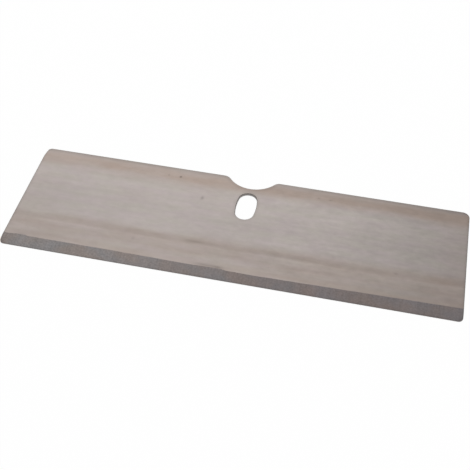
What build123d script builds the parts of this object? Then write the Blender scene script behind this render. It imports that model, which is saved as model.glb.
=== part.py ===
from build123d import *
import os

# A flat steel hoe blade, blanked from strip and ground to a single bevel.
# It lies flat: +X along the blade, +Y towards the notched back edge, +Z up
# out of the bevelled face. The origin is at the middle of the outline, on
# the flat underside. All sizes are in millimetres.

# Blank
blade_length = 200.0
blade_depth = 62.0
thickness = 1.2
back_corner_radius = 2.5
front_corner_radius = 2.0

# Bolt slot and neck notch, each struck a little off the middle of the blade
slot_offset = 1.0
slot_width = 9.0
slot_length = 16.5
slot_centre_from_back = 17.6
notch_offset = 0.4
notch_radius = 13.2
notch_depth = 6.2
notch_shoulder_radius = 3.5

# Edge that blanking draws down round the upper face
rolled_edge_radius = 0.3

# Ground bevel. Its width, measured back from the cutting edge, is least at a
# waist near the middle of the blade and grows towards both ends.
bevel_width_left = 5.7
bevel_width_waist = 4.9
bevel_width_right = 6.2
bevel_waist_x = 12.0
cutting_edge_land = 0.25

# How far the grinding passes run on beyond the steel
grinding_overrun = 4.0

back_edge_y = blade_depth / 2
cutting_edge_y = -blade_depth / 2
slot_centre_y = back_edge_y - slot_centre_from_back
notch_centre_y = back_edge_y - notch_depth + notch_radius
roll_radius = min(rolled_edge_radius, 0.45 * thickness)

bevel_stations = [
    (-blade_length / 2 - grinding_overrun, bevel_width_left),
    (bevel_waist_x, bevel_width_waist),
    (blade_length / 2 + grinding_overrun, bevel_width_right),
]


def bevel_waste(bevel_width):
    """Corners of the steel that grinding takes off, seen along the blade.

    The long side of this triangle passes through the top of the land at the
    cutting edge, and meets the upper face one bevel width behind that edge.
    """
    slope = (thickness - cutting_edge_land) / bevel_width
    front_y = cutting_edge_y - grinding_overrun
    behind_y = cutting_edge_y + bevel_width + grinding_overrun
    front_z = cutting_edge_land - slope * grinding_overrun
    behind_z = thickness + slope * grinding_overrun
    return [(front_y, front_z), (behind_y, behind_z), (front_y, behind_z)]


with BuildPart() as hoe_blade:
    # Outline, with the notch let into the back edge and the slot below it
    with BuildSketch() as blank:
        Rectangle(blade_length, blade_depth)
        with Locations((notch_offset, notch_centre_y)):
            Circle(notch_radius, mode=Mode.SUBTRACT)
        back_points = blank.vertices().group_by(Axis.Y)[-1].sort_by(Axis.X)
        fillet(back_points[1:-1], radius=notch_shoulder_radius)
        back_points = blank.vertices().group_by(Axis.Y)[-1].sort_by(Axis.X)
        fillet([back_points[0], back_points[-1]], radius=back_corner_radius)
        fillet(blank.vertices().group_by(Axis.Y)[0], radius=front_corner_radius)
        with Locations((slot_offset, slot_centre_y)):
            SlotOverall(slot_length, slot_width, rotation=90, mode=Mode.SUBTRACT)
    extrude(amount=thickness)

    # Blanking rounds every edge of the upper face
    fillet(hoe_blade.faces().sort_by(Axis.Z)[-1].edges(), radius=roll_radius)

    # The bevel is ground right through to both ends
    for station_x, bevel_width in bevel_stations:
        with BuildSketch(Plane.YZ.offset(station_x)):
            Polygon(*bevel_waste(bevel_width), align=None)
    loft(mode=Mode.SUBTRACT)

hoe_blade.part.label = "hoe_blade"

os.makedirs("parts", exist_ok=True)
export_step(hoe_blade.part, "parts/hoe_blade.step")
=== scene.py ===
"""Looks of a flat steel hoe blade: rolled faces, a ground bevel, blanked edges.

All lengths are in metres, in the blade's own frame: +X along the blade, +Y
towards the notched back edge, +Z up out of the bevelled face.
"""

import logging
import math
from dataclasses import dataclass
from enum import Enum
from typing import Callable, Dict, Optional, Sequence, Tuple, Union

import bpy
from mathutils import Matrix, Vector


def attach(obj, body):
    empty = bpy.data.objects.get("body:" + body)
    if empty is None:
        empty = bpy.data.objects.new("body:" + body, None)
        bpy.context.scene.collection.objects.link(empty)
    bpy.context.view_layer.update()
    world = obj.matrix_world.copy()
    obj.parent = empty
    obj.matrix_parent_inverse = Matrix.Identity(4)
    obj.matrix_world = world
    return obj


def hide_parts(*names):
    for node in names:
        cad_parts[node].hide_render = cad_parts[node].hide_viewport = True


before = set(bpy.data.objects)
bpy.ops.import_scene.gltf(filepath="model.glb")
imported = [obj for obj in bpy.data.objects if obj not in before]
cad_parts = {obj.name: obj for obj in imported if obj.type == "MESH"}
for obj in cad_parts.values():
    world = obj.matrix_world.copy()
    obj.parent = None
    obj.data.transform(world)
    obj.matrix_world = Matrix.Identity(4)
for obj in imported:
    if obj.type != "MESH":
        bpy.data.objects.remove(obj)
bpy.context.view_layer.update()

MM = 0.001

Colour = Tuple[float, float, float]
Triple = Tuple[float, float, float]
Number = Union[float, "Signal"]

log = logging.getLogger("hoe_blade")


class Region(Enum):
    """The three finishes on the blade, numbered as its material slots."""

    ROLLED = 0
    GROUND = 1
    BLANKED = 2


class Signal:
    """A number that varies over the surface. Python's operators add Math nodes to it."""

    def __init__(self, graph: "SurfaceGraph", socket: bpy.types.NodeSocket) -> None:
        """Wraps an output socket.

        Args:
            graph: the graph that the socket belongs to.
            socket: the socket.
        """
        self.graph = graph
        self.socket = socket

    def __add__(self, other: Number) -> "Signal":
        """Sum."""
        return self.graph.math("ADD", self, other)

    def __radd__(self, other: Number) -> "Signal":
        """Sum with a plain number first."""
        return self.graph.math("ADD", other, self)

    def __sub__(self, other: Number) -> "Signal":
        """Difference."""
        return self.graph.math("SUBTRACT", self, other)

    def __rsub__(self, other: Number) -> "Signal":
        """Difference with a plain number first."""
        return self.graph.math("SUBTRACT", other, self)

    def __mul__(self, other: Number) -> "Signal":
        """Product."""
        return self.graph.math("MULTIPLY", self, other)

    def __rmul__(self, other: Number) -> "Signal":
        """Product with a plain number first."""
        return self.graph.math("MULTIPLY", other, self)

    def __truediv__(self, other: Number) -> "Signal":
        """Quotient."""
        return self.graph.math("DIVIDE", self, other)

    def __rtruediv__(self, other: Number) -> "Signal":
        """Quotient with a plain number first."""
        return self.graph.math("DIVIDE", other, self)

    def __neg__(self) -> "Signal":
        """Opposite."""
        return self.graph.math("MULTIPLY", self, -1.0)

    def held(self) -> "Signal":
        """The same number, held between 0 and 1."""
        return self.graph.math("MINIMUM", self.graph.math("MAXIMUM", self, 0.0), 1.0)


class SurfaceGraph:
    """Builds one material's node tree round a Principled shader."""

    def __init__(self, name: str) -> None:
        """Makes a material that holds only its shader and output.

        Args:
            name: the material's name.
        """
        self.material = bpy.data.materials.new(name)
        self.material.use_nodes = True
        self.tree = self.material.node_tree
        self.tree.nodes.clear()
        self.shader = self.node("ShaderNodeBsdfPrincipled")
        self.node("ShaderNodeOutputMaterial", inputs={"Surface": self.shader.outputs[0]})
        self.place = self.node("ShaderNodeTexCoord").outputs["Object"]
        axes = self.node("ShaderNodeSeparateXYZ", inputs={"Vector": self.place})
        self.x, self.y, self.z = (Signal(self, axes.outputs[axis]) for axis in "XYZ")

    def node(
        self,
        kind: str,
        settings: Optional[Dict[str, object]] = None,
        inputs: Optional[Dict[Union[str, int], object]] = None,
    ) -> bpy.types.Node:
        """Adds any node.

        Args:
            kind: the node's type.
            settings: properties, which are set first.
            inputs: plain values, sockets or signals for its input sockets.

        Returns:
            The new node.
        """
        made = self.tree.nodes.new(kind)
        for name, value in (settings or {}).items():
            setattr(made, name, value)
        for key, value in (inputs or {}).items():
            self.feed(made.inputs[key], value)
        return made

    def feed(self, socket: bpy.types.NodeSocket, value: object) -> None:
        """Links a signal or socket to an input, or sets a plain value on it.

        Args:
            socket: the input socket.
            value: a signal, an output socket or a plain value.
        """
        if isinstance(value, Signal):
            value = value.socket
        if isinstance(value, bpy.types.NodeSocket):
            self.tree.links.new(value, socket)
        elif isinstance(value, tuple) and socket.type == "RGBA":
            socket.default_value = (*value, 1.0)
        else:
            socket.default_value = value

    def math(self, operation: str, first: Number, second: Number = 0.0) -> Signal:
        """Adds a Math node.

        Args:
            operation: what it does.
            first: its first number.
            second: its second number, if it takes one.

        Returns:
            The result.
        """
        made = self.node("ShaderNodeMath", {"operation": operation}, {0: first, 1: second})
        return Signal(self, made.outputs[0])

    def total(self, parts: Sequence[Signal]) -> Signal:
        """Adds several signals up.

        Args:
            parts: the signals.

        Returns:
            Their sum.
        """
        result = parts[0]
        for part in parts[1:]:
            result = result + part
        return result

    def far(self, along: Signal, across: Signal) -> Signal:
        """The length of a step with two parts at right angles.

        Args:
            along: the first part.
            across: the second part.

        Returns:
            The length.
        """
        return self.math("SQRT", along * along + across * across)

    def hump(self, value: Signal, centre: float, half_width: float) -> Signal:
        """A soft hump, 1 at its centre and about a third at its half width.

        Args:
            value: the number along which it lies.
            centre: where its top is.
            half_width: how wide it is to one side.

        Returns:
            The hump.
        """
        away = (value - centre) / half_width
        return self.math("EXPONENT", -(away * away))

    def ramp(self, value: Signal, start: float, end: float) -> Signal:
        """A smooth step from 0 at the start to 1 at the end.

        Args:
            value: the number along which it climbs.
            start: where it leaves 0.
            end: where it reaches 1.

        Returns:
            The step.
        """
        made = self.node(
            "ShaderNodeMapRange",
            {"interpolation_type": "SMOOTHSTEP", "clamp": True},
            {"Value": value, "From Min": start, "From Max": end},
        )
        return Signal(self, made.outputs[0])

    def clouds(self, per_metre: Triple, detail: float = 2.0, harshness: float = 0.5, seed: float = 0.0) -> Signal:
        """Noise from about -0.5 to 0.5, with its own scale along each axis.

        Args:
            per_metre: how many clouds there are to a metre along X, Y and Z.
            detail: how many finer octaves it has.
            harshness: how strong those octaves are.
            seed: moves the pattern, so that no two are alike.

        Returns:
            The noise.
        """
        moved = self.node(
            "ShaderNodeMapping",
            inputs={"Vector": self.place, "Location": (seed, seed * 1.7, seed * 2.3), "Scale": per_metre},
        )
        made = self.node(
            "ShaderNodeTexNoise",
            inputs={"Vector": moved.outputs[0], "Scale": 1.0, "Detail": detail, "Roughness": harshness},
        )
        return Signal(self, made.outputs[0]) - 0.5

    def mix(self, factor: Number, first: object, second: object) -> bpy.types.NodeSocket:
        """Mixes two colours.

        Args:
            factor: 0 gives the first colour and 1 the second.
            first: a colour, or a colour's socket.
            second: a colour, or a colour's socket.

        Returns:
            The mixed colour's socket.
        """
        made = self.node("ShaderNodeMix", {"data_type": "RGBA"}, {0: factor, 6: first, 7: second})
        return made.outputs[2]

    def lit(self, colour: object, level: Number) -> bpy.types.NodeSocket:
        """Makes a colour lighter or darker.

        Args:
            colour: a colour, or a colour's socket.
            level: 1 leaves the colour as it is.

        Returns:
            The new colour's socket.
        """
        made = self.node("ShaderNodeVectorMath", {"operation": "SCALE"}, {0: colour, "Scale": level})
        return made.outputs[0]

    def relief(self, height: Signal, depth: float) -> bpy.types.NodeSocket:
        """Turns a height into a bumpy normal.

        Args:
            height: the height, in depths.
            depth: how deep a height of 1 is, in metres.

        Returns:
            The normal's socket.
        """
        made = self.node("ShaderNodeBump", inputs={"Strength": 1.0, "Distance": depth, "Height": height})
        return made.outputs[0]

    def finish(self, colour: object, roughness: Number, normal: bpy.types.NodeSocket) -> bpy.types.Material:
        """Makes the surface bare metal.

        Args:
            colour: its colour.
            roughness: how dull it is.
            normal: its normal's socket.

        Returns:
            The finished material.
        """
        self.feed(self.shader.inputs["Metallic"], 1.0)
        self.feed(self.shader.inputs["Base Color"], colour)
        self.feed(self.shader.inputs["Roughness"], roughness)
        self.feed(self.shader.inputs["Normal"], normal)
        return self.material


class EditMode:
    """Edit mode on one object, which starts with nothing selected."""

    def __init__(self, piece: bpy.types.Object) -> None:
        """Keeps the object that is edited.

        Args:
            piece: the object.
        """
        self.piece = piece

    def __enter__(self) -> "EditMode":
        """Enters edit mode with nothing selected."""
        bpy.ops.object.select_all(action="DESELECT")
        self.piece.select_set(True)
        bpy.context.view_layer.objects.active = self.piece
        bpy.ops.object.mode_set(mode="EDIT")
        bpy.ops.mesh.select_mode(type="VERT")
        bpy.ops.mesh.select_all(action="DESELECT")
        return self

    def __exit__(self, *failure: object) -> None:
        """Leaves edit mode."""
        bpy.ops.object.mode_set(mode="OBJECT")

    def pick_faces(self, wanted: Callable[[bpy.types.MeshPolygon], bool]) -> None:
        """Selects the faces that a test accepts.

        Args:
            wanted: the test.
        """
        bpy.ops.mesh.select_mode(type="FACE")
        bpy.ops.mesh.select_all(action="DESELECT")
        bpy.ops.object.mode_set(mode="OBJECT")
        for face in self.piece.data.polygons:
            face.select = wanted(face)
        bpy.ops.object.mode_set(mode="EDIT")

    def tidy(self) -> None:
        """Joins doubled points and turns every face outwards."""
        bpy.ops.mesh.select_all(action="SELECT")
        bpy.ops.mesh.remove_doubles(threshold=0.001 * MM)
        bpy.ops.mesh.normals_make_consistent(inside=False)


@dataclass
class OutlinePen:
    """Draws a flat outline in edit mode, one straight run or round turn at a time."""

    x: float
    y: float
    heading: float
    turn_step: float = math.radians(5.0)

    def __post_init__(self) -> None:
        """Puts down the first point."""
        bpy.ops.mesh.select_all(action="DESELECT")
        bpy.ops.mesh.primitive_plane_add(size=MM, location=(self.x, self.y, 0.0))
        bpy.ops.mesh.merge(type="CENTER")

    def run(self, length: float) -> None:
        """Draws a straight run.

        Args:
            length: how long it is.
        """
        step = (length * math.cos(self.heading), length * math.sin(self.heading), 0.0)
        bpy.ops.mesh.extrude_region_move(TRANSFORM_OT_translate={"value": step})
        self.x += step[0]
        self.y += step[1]

    def turn(self, radius: float, angle: float) -> None:
        """Draws a round turn that leaves the last run smoothly.

        Args:
            radius: the turn's radius.
            angle: how far it turns, above 0 to the left.
        """
        to_centre = self.heading + math.copysign(math.pi / 2, angle)
        centre_x = self.x + radius * math.cos(to_centre)
        centre_y = self.y + radius * math.sin(to_centre)
        # With no window open, spin turns the other way, hence the minus.
        bpy.ops.mesh.spin(
            steps=max(3, round(abs(angle) / self.turn_step)),
            angle=-angle,
            center=(centre_x, centre_y, 0.0),
            axis=(0.0, 0.0, 1.0),
        )
        self.heading += angle
        self.x = centre_x - radius * math.cos(to_centre + angle)
        self.y = centre_y - radius * math.sin(to_centre + angle)


@dataclass(frozen=True)
class Outline:
    """The blank's outline: rounded corners, a notch in the back edge and a bolt slot below it."""

    length: float = 200.0 * MM
    depth: float = 62.0 * MM
    back_corner: float = 3.2 * MM
    front_corner: float = 2.0 * MM
    soft_corner: float = 2.0 * MM
    soft_side: float = 20.0 * MM
    soft_lean: float = math.radians(14.0)
    slot_offset: float = 0.9 * MM
    slot_width: float = 9.15 * MM
    slot_length: float = 16.35 * MM
    slot_end_radius: float = 4.2 * MM
    slot_tilt: float = math.radians(1.0)
    slot_from_back: float = 17.75 * MM
    notch_offset: float = 0.4 * MM
    notch_radius: float = 13.2 * MM
    notch_depth: float = 6.3 * MM
    right_shoulder: float = 3.4 * MM
    left_shoulder: float = 4.4 * MM

    def draw_rim(self) -> None:
        """Draws the outer rim anticlockwise, from the front edge.

        The left end leans in a little before it meets the back edge, so two arcs
        that touch each other make up that corner.
        """
        right_angle = math.pi / 2
        right_reach, right_lean = self.shoulder(self.right_shoulder)
        left_reach, left_lean = self.shoulder(self.left_shoulder)
        side_run = self.depth - self.front_corner
        sharp = right_angle - self.soft_lean
        along = self.soft_corner * math.sin(sharp) + self.soft_side * (1.0 - math.sin(sharp))
        down = self.soft_corner * (1.0 - math.cos(sharp)) + self.soft_side * math.cos(sharp)
        pen = OutlinePen(-self.length / 2 + self.front_corner, -self.depth / 2, 0.0)
        pen.run(self.length - 2 * self.front_corner)
        pen.turn(self.front_corner, right_angle)
        pen.run(side_run - self.back_corner)
        pen.turn(self.back_corner, right_angle)
        pen.run(self.length / 2 - self.notch_offset - right_reach - self.back_corner)
        pen.turn(self.right_shoulder, right_lean)
        pen.turn(self.notch_radius, -right_lean - left_lean)
        pen.turn(self.left_shoulder, left_lean)
        pen.run(self.length / 2 + self.notch_offset - left_reach - along)
        pen.turn(self.soft_corner, sharp)
        pen.turn(self.soft_side, self.soft_lean)
        pen.run(side_run - down)
        pen.turn(self.front_corner, right_angle)

    def shoulder(self, radius: float) -> Tuple[float, float]:
        """Works out where the notch's shoulder meets the back edge.

        Args:
            radius: the shoulder's radius.

        Returns:
            How far from the notch's middle it does, and the angle that the shoulder turns.
        """
        reach = self.notch_radius + radius
        lean = math.acos((reach - self.notch_depth) / reach)
        return reach * math.sin(lean), lean

    def draw_slot(self) -> None:
        """Draws the bolt slot anticlockwise, from the foot of its right side.

        Its sides bulge a little, so four arcs that touch each other make it up.
        """
        end = self.slot_end_radius
        half_width = self.slot_width / 2
        end_centre = self.slot_length / 2 - end
        side = (end_centre**2 + half_width**2 - end**2) / (2 * (half_width - end))
        lean = math.atan2(end_centre, side - half_width)
        foot = Vector((side * math.cos(lean) - side + half_width, -side * math.sin(lean)))
        foot.rotate(Matrix.Rotation(self.slot_tilt, 2))
        centre_y = self.depth / 2 - self.slot_from_back
        pen = OutlinePen(self.slot_offset + foot.x, centre_y + foot.y, math.pi / 2 - lean + self.slot_tilt)
        for _ in range(2):
            pen.turn(side, 2 * lean)
            pen.turn(end, math.pi - 2 * lean)

    def from_rim(self, g: SurfaceGraph) -> Signal:
        """How far in from the nearest straight edge or corner a place is, as nodes.

        Args:
            g: the graph that the nodes go in.

        Returns:
            The distance in metres.
        """
        corner = self.back_corner
        past_x = g.math("ABSOLUTE", g.x) - (self.length / 2 - corner)
        past_y = g.math("ABSOLUTE", g.y) - (self.depth / 2 - corner)
        in_corner = g.far(g.math("MAXIMUM", past_x, 0.0), g.math("MAXIMUM", past_y, 0.0))
        beside = g.math("MINIMUM", g.math("MAXIMUM", past_x, past_y), 0.0)
        return corner - in_corner - beside

    def from_back(self, g: SurfaceGraph) -> Signal:
        """How far in from the back edge or its notch a place is, as nodes.

        Args:
            g: the graph that the nodes go in.

        Returns:
            The distance in metres.
        """
        notch_y = self.depth / 2 - self.notch_depth + self.notch_radius
        from_notch = g.far(g.x - self.notch_offset, g.y - notch_y) - self.notch_radius
        return g.math("MINIMUM", self.depth / 2 - g.y, from_notch)

    def from_slot(self, g: SurfaceGraph) -> Signal:
        """How far out from the slot a place is, as nodes.

        Args:
            g: the graph that the nodes go in.

        Returns:
            The distance in metres.
        """
        slot_y = self.depth / 2 - self.slot_from_back
        end_centre = self.slot_length / 2 - self.slot_end_radius
        up_slot = g.y - slot_y
        past_end = g.math("MAXIMUM", g.math("ABSOLUTE", up_slot) - end_centre, 0.0)
        bulge = (1.0 - (up_slot * up_slot) / end_centre**2).held() * (self.slot_width / 2 - self.slot_end_radius)
        return g.far(g.x - self.slot_offset, past_end) - self.slot_end_radius - bulge


@dataclass(frozen=True)
class Shade:
    """A line of painted shade along an edge of the face."""

    way_in: float
    half_width: float
    strength: float


@dataclass(frozen=True)
class Streak:
    """A brown stain that rolling drew out along the strip, a little aslant."""

    y: float
    half_width: float
    strength: float
    slope: float = 0.0

    def shown(self, g: SurfaceGraph, across: Signal) -> Signal:
        """How strong the streak is at a place, as nodes.

        Args:
            g: the graph that the nodes go in.
            across: the place across the strip.

        Returns:
            The strength there.
        """
        return g.hump(across - g.x * self.slope, self.y, self.half_width) * self.strength


@dataclass(frozen=True)
class Spot:
    """A pit, a stain or a broad darker patch on the rolled face; below 0 it is paler."""

    x: float
    y: float
    half_length: float
    half_width: float
    strength: float

    def shown(self, g: SurfaceGraph) -> Signal:
        """How strong the spot is at a place, as nodes.

        Args:
            g: the graph that the nodes go in.

        Returns:
            The strength there.
        """
        return g.hump(g.x, self.x, self.half_length) * g.hump(g.y, self.y, self.half_width) * self.strength


@dataclass(frozen=True)
class RolledFinish:
    """Bare rolled strip: pale warm grey, with tan and brown streaks along it and a few pits."""

    pale_pink: Colour = (0.474, 0.420, 0.408)
    pale_green: Colour = (0.466, 0.426, 0.394)
    tan: Colour = (0.474, 0.388, 0.340)
    roughness: float = 0.42
    streak_wander: float = 3.0 * MM
    # Painted shade just inside the edges: where each dark band lies, how wide and how dark it is.
    rim: Shade = Shade(0.3 * MM, 0.7 * MM, 0.10)
    painted_back_shade: Shade = Shade(0.95 * MM, 0.8 * MM, 0.11)
    painted_slot_shade: Shade = Shade(0.55 * MM, 0.7 * MM, 0.08)
    tan_streaks: Tuple[Streak, ...] = (
        Streak(25.8 * MM, 4.2 * MM, 0.92, -0.004),
        Streak(-12.1 * MM, 3.0 * MM, 0.55, 0.004),
        Streak(-18.0 * MM, 3.2 * MM, 0.42),
        Streak(-24.4 * MM, 3.0 * MM, 0.48),
    )
    dark_streaks: Tuple[Streak, ...] = (
        Streak(-12.3 * MM, 2.5 * MM, 0.100, 0.003),
        Streak(-17.9 * MM, 1.6 * MM, 0.050),
        Streak(-22.6 * MM, 2.4 * MM, 0.036),
    )
    dark_back: Streak = Streak(26.4 * MM, 3.4 * MM, 0.055, -0.004)
    pale_streak: Streak = Streak(15.8 * MM, 7.2 * MM, 0.062)
    pale_line: Streak = Streak(-14.4 * MM, 0.7 * MM, 0.045, 0.003)
    spots: Tuple[Spot, ...] = (
        Spot(-38.4 * MM, 25.5 * MM, 0.5 * MM, 0.5 * MM, 0.20),
        Spot(-32.7 * MM, 25.4 * MM, 0.5 * MM, 0.6 * MM, 0.50),
        Spot(-19.7 * MM, 14.1 * MM, 0.7 * MM, 1.1 * MM, 0.26),
        Spot(-43.4 * MM, -16.5 * MM, 0.8 * MM, 0.8 * MM, 0.12),
        Spot(32.2 * MM, 25.5 * MM, 0.6 * MM, 0.4 * MM, 0.18),
        Spot(37.5 * MM, 25.3 * MM, 0.8 * MM, 0.4 * MM, 0.20),
        Spot(71.0 * MM, -12.0 * MM, 0.8 * MM, 0.5 * MM, 0.14),
        Spot(-16.0 * MM, -12.7 * MM, 4.5 * MM, 0.8 * MM, 0.17),
        Spot(-8.0 * MM, -24.8 * MM, 6.0 * MM, 0.9 * MM, 0.25),
        Spot(-3.2 * MM, -25.0 * MM, 2.0 * MM, 0.8 * MM, 0.20),
        Spot(-92.0 * MM, -24.6 * MM, 3.0 * MM, 0.7 * MM, 0.08),
    )
    patches: Tuple[Spot, ...] = (
        Spot(-34.0 * MM, -3.0 * MM, 16.0 * MM, 6.0 * MM, -0.042),
        Spot(38.0 * MM, 8.0 * MM, 15.0 * MM, 10.0 * MM, -0.045),
        Spot(-91.0 * MM, 26.0 * MM, 12.0 * MM, 5.0 * MM, -0.020),
        Spot(-88.0 * MM, 7.0 * MM, 13.0 * MM, 9.0 * MM, 0.028),
        Spot(-48.0 * MM, 25.5 * MM, 6.0 * MM, 2.5 * MM, 0.040),
        Spot(10.0 * MM, -17.0 * MM, 15.0 * MM, 4.5 * MM, 0.040),
        Spot(17.0 * MM, 28.5 * MM, 8.0 * MM, 2.5 * MM, 0.030),
        Spot(77.0 * MM, 5.0 * MM, 15.0 * MM, 14.0 * MM, 0.028),
        Spot(76.0 * MM, -23.0 * MM, 28.0 * MM, 5.5 * MM, 0.060),
    )

    def material(self, outline: Outline) -> bpy.types.Material:
        """Builds the material.

        Args:
            outline: the blade's outline, beside which painted shade darkens the face.

        Returns:
            The material.
        """
        g = SurfaceGraph("rolled_steel")
        across = g.y + g.clouds((11.0, 26.0, 1.0), seed=3.0) * self.streak_wander
        fibres = g.clouds((26.0, 380.0, 1.0), detail=3.0, harshness=0.55, seed=11.0)
        grain = g.clouds((240.0, 430.0, 1.0), detail=2.0, harshness=0.6, seed=17.0)
        patches = g.clouds((42.0, 190.0, 1.0), detail=3.0, harshness=0.55, seed=5.0)
        broad = g.clouds((9.0, 34.0, 1.0), seed=8.0)
        bands = g.total([streak.shown(g, across) for streak in self.tan_streaks])
        faint = g.ramp(g.x, -outline.length * 0.36, -outline.length * 0.54)
        right_end = g.ramp(g.x, outline.length * 0.4, outline.length * 0.5) * 0.14
        ends = faint * 0.12 + right_end
        tan = (bands * (1.0 - faint * 0.5) * (1.0 + patches * 1.8) + ends + broad * 0.4 + patches * 0.25).held()
        pale = g.mix((0.5 + g.clouds((70.0, 240.0, 1.0), detail=3.0, seed=23.0) * 3.6).held(),
                     self.pale_pink, self.pale_green)
        dark = g.total([streak.shown(g, across) for streak in self.dark_streaks])
        stain = g.total([spot.shown(g) for spot in self.spots])
        # Broad paler and darker patches over the face.
        broad_patches = g.total([spot.shown(g) for spot in self.patches])
        # Painted shade: rim holds the dark bands inside the outer edge, the back edge with its notch, and the slot.
        edges = ((outline.from_rim(g), self.rim), (outline.from_back(g), self.painted_back_shade),
                 (outline.from_slot(g), self.painted_slot_shade))
        rim = g.total([g.hump(way, s.way_in, s.half_width) * s.strength for way, s in edges])
        bright = 1.0 + self.pale_streak.shown(g, g.y) + self.pale_line.shown(g, across) + faint * 0.03
        blotches = g.clouds((110.0, 150.0, 1.0), detail=2.0, seed=29.0)
        strength = 0.85 + g.ramp(g.x, -outline.length * 0.25, outline.length * 0.25) * 0.55
        mottle = 1.0 + (fibres * 0.15 + grain * 0.17 + patches * 0.10 + blotches * 0.11) * strength
        dark = dark + self.dark_back.shown(g, across) * g.ramp(g.x, -outline.length * 0.2, outline.length * 0.3)
        level = bright * mottle * (1.0 - dark * (1.0 + patches * 1.8)) * (1.0 - stain - broad_patches) * (1.0 - rim)
        return g.finish(
            colour=g.lit(g.mix(tan, pale, self.tan), level),
            roughness=self.roughness + patches * 0.10 + tan * 0.04,
            normal=g.relief(fibres * 0.5 + grain * 0.5 - stain, 0.02 * MM),
        )


@dataclass(frozen=True)
class GroundFinish:
    """A face ground across the edge, with fine lines from front to back."""

    left_grey: Colour = (0.380, 0.347, 0.335)
    right_brown: Colour = (0.315, 0.273, 0.266)
    cool: Colour = (0.965, 1.01, 1.05)
    warm: Colour = (1.035, 0.99, 0.955)
    left_x: float = -110.0 * MM
    right_x: float = 60.0 * MM
    # Painted shade: a dark strip along the cutting edge, standing in for the dark line of the land below it.
    painted_shade_half_width: float = 0.5 * MM
    painted_shade_strength: float = 0.20
    roughness: float = 0.46

    def material(self, outline: Outline) -> bpy.types.Material:
        """Builds the material.

        Args:
            outline: the blade's outline, along whose front painted shade darkens the bevel.

        Returns:
            The material.
        """
        g = SurfaceGraph("ground_steel")
        lines = g.clouds((820.0, 90.0, 1.0), detail=3.0, harshness=0.65, seed=2.0)
        passes = g.clouds((190.0, 14.0, 1.0), detail=2.0, seed=7.0)
        grit = g.clouds((1300.0, 1300.0, 1.0), detail=2.0, seed=13.0)
        hue = g.clouds((85.0, 120.0, 1.0), detail=2.0, harshness=0.5, seed=19.0)
        tint = (g.ramp(g.x, self.left_x, self.right_x) + passes * 0.8).held()
        metal = g.mix((0.5 + hue * 3.6).held(), self.cool, self.warm)
        tone = g.node("ShaderNodeVectorMath", {"operation": "MULTIPLY"},
                      {0: g.mix(tint, self.left_grey, self.right_brown), 1: metal}).outputs[0]
        # Painted shade: edge darkens the bevel along the cutting edge.
        edge = g.hump(outline.from_rim(g), 0.0, self.painted_shade_half_width) * self.painted_shade_strength
        strength = 1.15 - g.ramp(g.x, -outline.length / 2, outline.length / 2) * 0.35
        level = (1.0 + (lines * 0.50 + grit * 0.65 + passes * 0.28) * strength) * (1.0 - edge)
        return g.finish(
            colour=g.lit(tone, level),
            roughness=self.roughness + lines * 0.2,
            normal=g.relief(lines + passes * 0.6, 0.02 * MM),
        )


@dataclass(frozen=True)
class BlankedFinish:
    """An edge that the press has sheared: dull, with upright drag lines, and dark partly as sheared steel and
    partly as painted shade.
    """

    # Dark partly as the sheared steel's own colour and partly as painted shade on the upright edges.
    dark: Colour = (0.215, 0.195, 0.186)
    light: Colour = (0.40, 0.37, 0.354)
    roughness: float = 0.52

    def material(self) -> bpy.types.Material:
        """Builds the material."""
        g = SurfaceGraph("blanked_steel")
        drag = g.clouds((1400.0, 1400.0, 90.0), detail=3.0, harshness=0.6, seed=6.0)
        patches = g.clouds((150.0, 150.0, 150.0), detail=2.0, seed=9.0)
        light = (0.4 + drag * 0.9 + patches * 0.7).held()
        return g.finish(
            colour=g.mix(light, self.dark, self.light),
            roughness=self.roughness + drag * 0.2,
            normal=g.relief(drag, 0.03 * MM),
        )


@dataclass(frozen=True)
class GrindingSlip:
    """A place where the wheel bit further back into the face than beside it."""

    start_x: float
    end_x: float
    extra_width: float

    def bite(self, x: float) -> float:
        """How much further back the wheel bit.

        Args:
            x: the place along the blade.

        Returns:
            The extra width there, which grows slowly and stops short.
        """
        along = (x - self.start_x) / (self.end_x - self.start_x)
        if not 0.0 < along < 1.0:
            return 0.0
        return self.extra_width * math.sqrt(along) * min(1.0, (1.0 - along) * 8.0)


@dataclass(frozen=True)
class GroundBevel:
    """The bevel along the cutting edge, ground freehand, so its width wanders."""

    left_width: float = 5.6 * MM
    waist_width: float = 4.9 * MM
    right_width: float = 6.3 * MM
    waist_x: float = 12.0 * MM
    left_full_by: float = -52.0 * MM
    land: float = 0.25 * MM
    station: float = 1.0 * MM
    overrun: float = 4.0 * MM
    ripple: float = 0.05 * MM
    slips: Tuple[GrindingSlip, ...] = (
        GrindingSlip(-14.0 * MM, 0.0 * MM, 0.45 * MM),
        GrindingSlip(-97.5 * MM, -89.0 * MM, 0.45 * MM),
    )

    def width(self, x: float, half_length: float) -> float:
        """The bevel's width, measured back from the cutting edge.

        Args:
            x: the place along the blade.
            half_length: half the blade's length.

        Returns:
            The width there.
        """
        if x < self.waist_x:
            grown = min(1.0, (self.waist_x - x) / (self.waist_x - self.left_full_by))
            base = self.waist_width + (self.left_width - self.waist_width) * grown
        else:
            grown = (x - self.waist_x) / (half_length - self.waist_x)
            base = self.waist_width + (self.right_width - self.waist_width) * grown
        shake = math.sin(x / (1.9 * MM)) * math.sin(x / (5.3 * MM) + 1.0)
        return base + self.ripple * shake + sum(slip.bite(x) for slip in self.slips)


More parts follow.
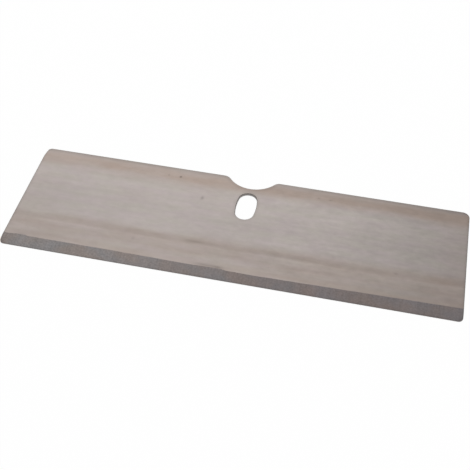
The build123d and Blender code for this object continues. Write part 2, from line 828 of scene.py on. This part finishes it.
@dataclass(frozen=True)
class HoeBlade:
    """The whole blade: strip blanked with its notch and slot, then ground along the front."""

    outline: Outline = Outline()
    thickness: float = 1.2 * MM
    rim_radius: float = 0.3 * MM
    rim_steps: int = 4
    rim_margin: float = 0.1 * MM
    bevel: GroundBevel = GroundBevel()
    rolled: RolledFinish = RolledFinish()
    ground: GroundFinish = GroundFinish()
    blanked: BlankedFinish = BlankedFinish()

    def make(self) -> bpy.types.Object:
        """Builds the blade and dresses it.

        Returns:
            The finished piece.
        """
        blade = self.blank()
        self.grind(blade)
        self.dress(blade)
        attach(blade, "root")
        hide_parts("hoe_blade")
        return blade

    def blank(self) -> bpy.types.Object:
        """Makes the strip with its notch and slot, and the rim that blanking rolls over.

        Returns:
            The blank, not ground yet.
        """
        bpy.ops.object.select_all(action="DESELECT")
        bpy.ops.mesh.primitive_plane_add(size=MM)
        blade = bpy.context.object
        blade.name = blade.data.name = "hoe_blade_steel"
        with EditMode(blade) as edit:
            bpy.ops.mesh.select_all(action="SELECT")
            bpy.ops.mesh.delete(type="VERT")
            self.outline.draw_rim()
            self.outline.draw_slot()
            bpy.ops.mesh.select_all(action="SELECT")
            bpy.ops.mesh.remove_doubles(threshold=0.001 * MM)
            bpy.ops.mesh.fill(use_beauty=True)
            upright = (0.0, 0.0, self.thickness - self.rim_radius)
            bpy.ops.mesh.extrude_region_move(TRANSFORM_OT_translate={"value": upright})
            edit.tidy()
            edit.pick_faces(lambda face: face.normal.z > 0.9)
            for step in range(self.rim_steps):
                low = math.pi / 2 * step / self.rim_steps
                high = math.pi / 2 * (step + 1) / self.rim_steps
                inward = self.rim_radius * (math.cos(low) - math.cos(high))
                rise = self.rim_radius * (math.sin(high) - math.sin(low))
                bpy.ops.mesh.inset(thickness=inward, depth=rise)
            bpy.ops.mesh.inset(thickness=self.rim_margin, depth=0.0)
        return blade

    def grinding_wheel(self) -> bpy.types.Object:
        """Makes the body of steel that grinding takes off the front edge.

        Its profile is scaled back from the cutting edge at each station, so the
        ground face always starts at the top of the land.

        Returns:
            The cutting body.
        """
        bevel = self.bevel
        half = self.outline.length / 2
        front_y = -self.outline.depth / 2
        start_x = -half - bevel.overrun
        slope_rise = self.thickness - bevel.land
        bpy.ops.object.select_all(action="DESELECT")
        bpy.ops.mesh.primitive_plane_add(size=MM)
        wheel = bpy.context.object
        wheel.name = "grinding_wheel"
        with EditMode(wheel):
            bpy.ops.mesh.select_all(action="SELECT")
            bpy.ops.mesh.delete(type="VERT")
            width = bevel.width(start_x, half)
            pen_y = front_y - 0.5 * width
            bpy.ops.mesh.primitive_plane_add(size=MM, location=(start_x, pen_y, bevel.land - 0.5 * slope_rise))
            bpy.ops.mesh.merge(type="CENTER")
            bpy.ops.mesh.extrude_region_move(TRANSFORM_OT_translate={"value": (0.0, 2.0 * width, 2.0 * slope_rise)})
            bpy.ops.mesh.extrude_region_move(TRANSFORM_OT_translate={"value": (0.0, 0.0, slope_rise)})
            bpy.ops.mesh.extrude_region_move(TRANSFORM_OT_translate={"value": (0.0, -2.0 * width, 0.0)})
            bpy.ops.mesh.select_all(action="SELECT")
            bpy.ops.mesh.edge_face_add()
            x = start_x
            while x < half + bevel.overrun:
                ahead = bevel.width(x + bevel.station, half)
                bpy.ops.mesh.extrude_region_move(TRANSFORM_OT_translate={"value": (bevel.station, 0.0, 0.0)})
                x += bevel.station
                bpy.ops.transform.resize(value=(1.0, ahead / width, 1.0), center_override=(x, front_y, 0.0))
                width = ahead
            bpy.ops.mesh.select_all(action="SELECT")
            bpy.ops.mesh.normals_make_consistent(inside=False)
        return wheel

    def grind(self, blade: bpy.types.Object) -> None:
        """Takes the bevel off the blank.

        Args:
            blade: the blank, which becomes the ground blade.
        """
        wheel = self.grinding_wheel()
        bpy.ops.object.select_all(action="DESELECT")
        blade.select_set(True)
        bpy.context.view_layer.objects.active = blade
        cut = blade.modifiers.new("grinding", "BOOLEAN")
        cut.operation = "DIFFERENCE"
        cut.solver = "EXACT"
        cut.object = wheel
        bpy.ops.object.modifier_apply(modifier=cut.name)
        bpy.data.objects.remove(wheel)

    def is_ground(self, face: bpy.types.MeshPolygon) -> bool:
        """Says whether a face lies on the bevel.

        Args:
            face: the face.

        Returns:
            Whether the face's middle and slope are the bevel's.
        """
        width = self.bevel.width(face.center.x, self.outline.length / 2)
        rise = self.thickness - self.bevel.land
        plane = Vector((0.0, -rise, width)).normalized()
        level = self.bevel.land + rise * (face.center.y + self.outline.depth / 2) / width
        return face.normal.dot(plane) > 0.995 and abs(face.center.z - level) < 0.1 * MM

    def is_blanked(self, face: bpy.types.MeshPolygon) -> bool:
        """Says whether a face belongs to the sheared edge or its rolled rim."""
        return abs(face.normal.z) < 0.97

    def dress(self, blade: bpy.types.Object) -> None:
        """Gives each region of the blade its finish, and its shading.

        Args:
            blade: the ground blade.
        """
        blade.data.materials.append(self.rolled.material(self.outline))
        blade.data.materials.append(self.ground.material(self.outline))
        blade.data.materials.append(self.blanked.material())
        with EditMode(blade) as edit:
            edit.tidy()
            for region, wanted in ((Region.BLANKED, self.is_blanked), (Region.GROUND, self.is_ground)):
                edit.pick_faces(wanted)
                blade.active_material_index = region.value
                bpy.ops.object.material_slot_assign()
            bpy.ops.mesh.region_to_loop()
            bpy.ops.mesh.mark_sharp()
        bpy.ops.object.select_all(action="DESELECT")
        blade.select_set(True)
        bpy.context.view_layer.objects.active = blade
        bpy.ops.object.shade_smooth_by_angle(angle=math.radians(30.0), keep_sharp_edges=True)


@dataclass(frozen=True)
class Studio:
    """A white floor and soft plain light, with a large lamp behind the blade's left end."""

    floor_width: float = 6.0
    floor_drop: float = 0.02 * MM
    floor_colour: Colour = (0.8, 0.8, 0.8)
    floor_glow: float = 0.93
    floor_level: float = 1.04
    room_light: float = 0.42
    lamp_way: Triple = (-0.26, 0.72, 0.80)
    lamp_distance: float = 1.2
    lamp_size: float = 0.9
    lamp_power: float = 2.06

    def make(self) -> None:
        """Sets up the floor, the room's light and the lamp."""
        self.make_floor()
        self.light_room()
        self.hang_lamp()

    def seen(self, tree: bpy.types.NodeTree) -> bpy.types.NodeSocket:
        """Adds nodes that tell what is seen, straight or by reflection, from what only gives light.

        Args:
            tree: the node tree that they go in.

        Returns:
            A socket that is 1 for camera, glossy and transmission rays.
        """
        path = tree.nodes.new("ShaderNodeLightPath")
        found = path.outputs["Is Camera Ray"]
        for name in ("Is Glossy Ray", "Is Transmission Ray"):
            either = tree.nodes.new("ShaderNodeMath")
            either.operation = "MAXIMUM"
            tree.links.new(found, either.inputs[0])
            tree.links.new(path.outputs[name], either.inputs[1])
            found = either.outputs[0]
        return found

    def make_floor(self) -> None:
        """Lays the floor, which looks white and keeps a faint shadow."""
        bpy.ops.object.select_all(action="DESELECT")
        bpy.ops.mesh.primitive_plane_add(size=self.floor_width, location=(0.0, 0.0, -self.floor_drop))
        floor = bpy.context.object
        floor.name = "floor"
        graph = SurfaceGraph("white_floor")
        glow = graph.node("ShaderNodeEmission", inputs={"Color": (1.0, 1.0, 1.0), "Strength": self.floor_level})
        matt = graph.node("ShaderNodeBsdfDiffuse", inputs={"Color": self.floor_colour})
        share = Signal(graph, self.seen(graph.tree)) * self.floor_glow
        both = graph.node(
            "ShaderNodeMixShader", inputs={0: share, 1: matt.outputs[0], 2: glow.outputs[0]}
        )
        output = graph.tree.get_output_node("ALL")
        graph.feed(output.inputs["Surface"], both.outputs[0])
        graph.tree.nodes.remove(graph.shader)
        floor.data.materials.append(graph.material)

    def light_room(self) -> None:
        """Lights the room evenly; the camera sees it white."""
        world = bpy.data.worlds.new("room")
        world.use_nodes = True
        bpy.context.scene.world = world
        tree = world.node_tree
        background = tree.nodes["Background"]
        path = tree.nodes.new("ShaderNodeLightPath")
        level = tree.nodes.new("ShaderNodeMapRange")
        tree.links.new(path.outputs["Is Camera Ray"], level.inputs["Value"])
        level.inputs["To Min"].default_value = self.room_light
        level.inputs["To Max"].default_value = 1.0
        background.inputs["Color"].default_value = (1.0, 1.0, 1.0, 1.0)
        tree.links.new(level.outputs[0], background.inputs["Strength"])

    def hang_lamp(self) -> None:
        """Hangs the lamp, turned to the blade."""
        way = Vector(self.lamp_way).normalized()
        bpy.ops.object.light_add(type="AREA", location=way * self.lamp_distance)
        lamp = bpy.context.object
        lamp.name = "lamp"
        lamp.rotation_euler = way.to_track_quat("Z", "Y").to_euler()
        lamp.data.shape = "SQUARE"
        lamp.data.size = self.lamp_size
        lamp.data.energy = self.lamp_power


@dataclass(frozen=True)
class Viewpoint:
    """The camera, from the fit of the blade's outline and slot to the photo."""

    aim: Triple = (-0.46 * MM, -3.985 * MM, 0.0)
    distance: float = 401.39 * MM
    azimuth: float = 12.033
    elevation: float = 47.394
    roll: float = 0.421
    lens: float = 69.785

    def make(self) -> None:
        """Places the camera and makes it the scene's."""
        turn = (
            Matrix.Rotation(math.radians(self.azimuth), 4, "Z")
            @ Matrix.Rotation(math.radians(90.0 - self.elevation), 4, "X")
            @ Matrix.Rotation(math.radians(self.roll), 4, "Z")
        )
        back = turn @ Vector((0.0, 0.0, self.distance))
        bpy.ops.object.camera_add(location=Vector(self.aim) + back, rotation=turn.to_euler())
        camera = bpy.context.object
        camera.name = "camera"
        camera.data.lens = self.lens
        camera.data.sensor_width = 36.0
        camera.data.clip_start = 10.0 * MM
        camera.data.clip_end = 20.0
        bpy.context.scene.camera = camera


def main() -> None:
    """Builds the blade, the studio and the camera."""
    logging.basicConfig(level=logging.INFO, format="%(name)s: %(message)s")
    bpy.context.scene.view_settings.view_transform = "Standard"
    blade = HoeBlade().make()
    log.info("%s has %d faces", blade.name, len(blade.data.polygons))
    Studio().make()
    log.info("the studio is lit")
    Viewpoint().make()
    log.info("the camera is in place")


if __name__ == "__main__":
    main()
